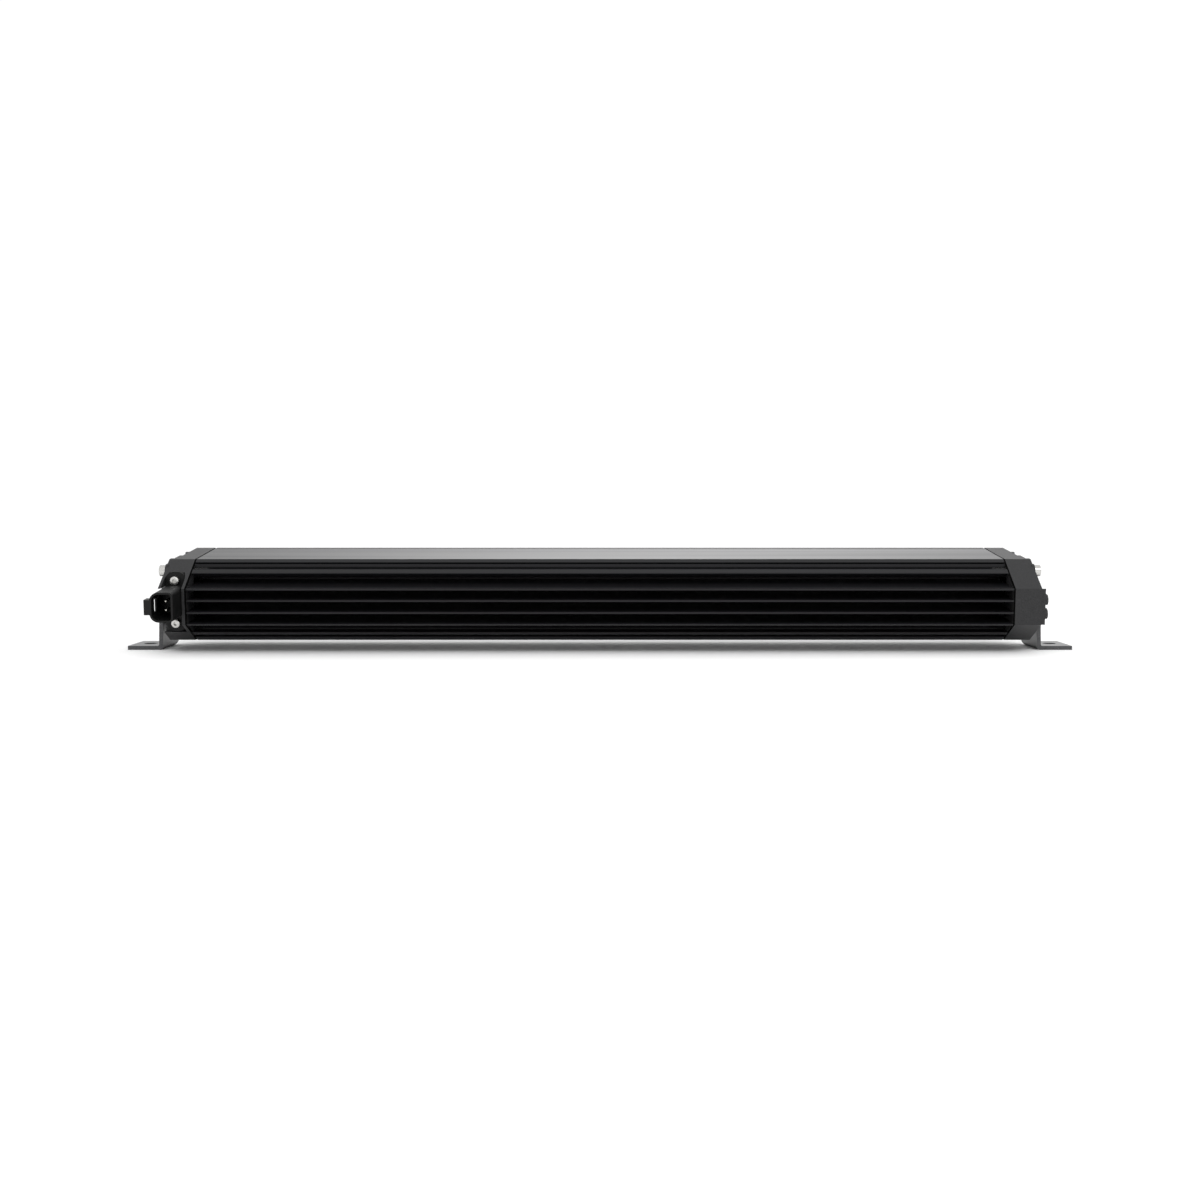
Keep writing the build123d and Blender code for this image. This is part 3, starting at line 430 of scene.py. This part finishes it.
# ---- driver ----------------------------------------------------------------------------
# A small fibreglass board with its inductor, capacitors and transistors, on four brass
# standoffs at the connector end. It sits inside the chamber, in front of the web.

# green solder mask over fibreglass: glossy, with the weave just showing
green_mask, tree, shader = finish("green_solder_mask", IOR=1.5)
grain(tree, shader, (1200, 300, 300), ("#0c3b1d", "#155a2c"), (0.25, 0.4), 0.000006)
coat("driver_board", green_mask)
# moulded epoxy and shrink sleeve: black and softly shiny
epoxy, tree, shader = finish("moulded_epoxy", IOR=1.55)
grain(tree, shader, (2200, 2200, 2200), ("#141414", "#232323"), (0.35, 0.5), 0.000004)
eased("driver_components", 0.3, epoxy)
# nickel-plated brass: a slightly warm metal with turning marks
nickel, tree, shader = finish("nickel_plated_brass", Metallic=1.0)
grain(tree, shader, (2500, 2500, 2500), ("#cdc9bf", "#e2dfd7"), (0.2, 0.32), 0.0000015)
eased("driver_standoffs", 0.15, nickel)

# ---- power connector -------------------------------------------------------------------
# A flanged two-pin receptacle, moulded in black glass-filled nylon, with a wedge that
# locks its nickel-plated pins. A silicone gasket and two M3 screws seal it to the cap.

SPARK_GRAIN = 0.0005        # metres across the mould's spark-eroded texture

# glass-filled nylon: deep black and dull, with a fine eroded grain
nylon, tree, shader = finish("glass_filled_nylon", IOR=1.3)
grain(tree, shader, (1 / SPARK_GRAIN, 1 / SPARK_GRAIN, 1 / SPARK_GRAIN),
      ("#060606", "#0e0e0e"), (0.4, 0.55), 0.00001)
eased("connector_housing", 0.3, nylon)
eased("connector_wedge", 0.25, nylon)

# nickel-plated copper pins with rounded tips
SOCKET_X = 263.2            # the socket's middle, along the bar
PIN_START = 18.0
PIN_LEVELS = (5.5, -0.1)
PIN_RINGS = [(0.75, 0), (0.75, 35.9), (0.68, 36.2), (0.5, 36.4), (0.25, 36.5)]
pin = turn("pin", PIN_RINGS, 24, nickel)
pins = repeat(pin, "plated_pins", [(SOCKET_X, PIN_START, level) for level in PIN_LEVELS],
              REARWARD)
stand_for(pins, "connector_pins")

FLANGE_REAR = 32.8
FLANGE_SCREW_LEVELS = (14.7, -12.1)
flange_screw = socket_screw("flange_screw", M3, (2.75, 3.0), 2.5, M3_PITCH, 7.0, True)
flange_screws = repeat(flange_screw, "flange_socket_screws",
                       [(SOCKET_X, FLANGE_REAR, level) for level in FLANGE_SCREW_LEVELS],
                       REARWARD)
stand_for(flange_screws, "connector_screws")

# ---- internal leads --------------------------------------------------------------------
# Two silicone-insulated wires from the connector's pins to the driver board.

for node_name, shades in (("positive_lead", ("#8e1512", "#a81d18")),
                          ("negative_lead", ("#151515", "#1f1f1f"))):
    insulation, tree, shader = finish(f"{node_name}_insulation", IOR=1.41)
    grain(tree, shader, (1500, 1500, 1500), shades, (0.5, 0.62), 0.000004)
    eased(node_name, 0, insulation, 0.05)

# ---- pivots ----------------------------------------------------------------------------
# An M8 button-head bolt holds each bracket against the cap's boss, through a washer.
# An acetal bush lets the bracket turn until the bolt is tight.

# acetal: black and waxy
acetal, tree, shader = finish("turned_acetal", IOR=1.48)
grain(tree, shader, (1800, 1800, 1800), ("#101010", "#191919"), (0.35, 0.45), 0.000003)
for end_name in ("connector_end", "plain_end"):
    eased(f"{end_name}_pivot_bush", 0.15, acetal)
    eased(f"{end_name}_pivot_washer", 0.2, stainless)
    eased(f"{end_name}_pivot_bolt", 0.2, stainless)

# ---- brackets --------------------------------------------------------------------------
# L-shaped feet, blanked and folded from 2.5 mm sheet steel and powder coated in satin
# charcoal. The coat rounds their edges.

# smooth satin powder coat on sheet steel: charcoal with a soft sheen
satin_coat, tree, shader = finish("satin_coated_sheet_steel", IOR=1.5)
grain(tree, shader, (700, 700, 700), ("#343436", "#434345"), (0.3, 0.42), 0.000008)
for node_name in ("connector_end_bracket", "plain_end_bracket"):
    eased(node_name, 0.3, satin_coat)

# ---- studio ----------------------------------------------------------------------------
# White paper underfoot and a bright white surround, brighter beyond the bar, so its top
# picks up a broad soft sheen. The camera looks level at the bar's back.

bpy.ops.mesh.primitive_plane_add(size=60, location=(0, 0, 0))
floor = bpy.context.active_object
floor.name = "studio_floor"
paper, tree, shader = finish("matt_white_paper", IOR=1.3, Roughness=0.95)
shader.inputs["Base Color"].default_value = linear("#f9f9f9")
floor.data.materials.append(paper)

SURROUND = 1.05             # the even light from every side
GLOW = 1.7                 # what the bright panel beyond the bar adds at its middle
GLOW_WAY = Vector((-0.055, -0.96, 0.27)).normalized()
GLOW_EDGE = math.cos(math.radians(21))
world = bpy.data.worlds.new("studio")
world.use_nodes = True
bpy.context.scene.world = world
tree = world.node_tree
way = add(tree, "ShaderNodeTexCoord").outputs["Generated"]
facing = add(tree, "ShaderNodeVectorMath", {0: way, 1: GLOW_WAY}, operation="DOT_PRODUCT")
inside = add(tree, "ShaderNodeMapRange", {"Value": facing.outputs["Value"],
                                          "From Min": GLOW_EDGE})
panel = add(tree, "ShaderNodeMath", {0: inside.outputs["Result"], 1: 2.0}, operation="POWER")
level = add(tree, "ShaderNodeMath", {0: panel.outputs[0], 1: GLOW, 2: SURROUND},
            operation="MULTIPLY_ADD")
tree.links.new(level.outputs[0], tree.nodes["Background"].inputs["Strength"])
tree.nodes["Background"].inputs["Color"].default_value = (1, 1, 1, 1)

# a long soft box above and behind, nearer the plain end, which draws the fins' edges
lamp_data = bpy.data.lights.new("soft_box", "AREA")
lamp_data.shape = "RECTANGLE"
lamp_data.size = 1.9
lamp_data.size_y = 0.4
lamp_data.energy = 9
lamp = bpy.data.objects.new("soft_box", lamp_data)
bpy.context.scene.collection.objects.link(lamp)
lamp.location = (-0.45, 1.0, 0.9)
lamp.rotation_euler = (-math.radians(47), 0, 0)

camera_data = bpy.data.cameras.new("camera")
camera_data.sensor_width = 36
camera_data.lens = 43.5
camera_data.shift_y = -0.0875
camera_data.dof.use_dof = False
camera = bpy.data.objects.new("camera", camera_data)
bpy.context.scene.collection.objects.link(camera)
camera.location = (0, 0.9332, 0.098)
camera.rotation_euler = (math.pi / 2, 0, math.pi)
bpy.context.scene.camera = camera
bpy.context.scene.view_settings.view_transform = "Standard"
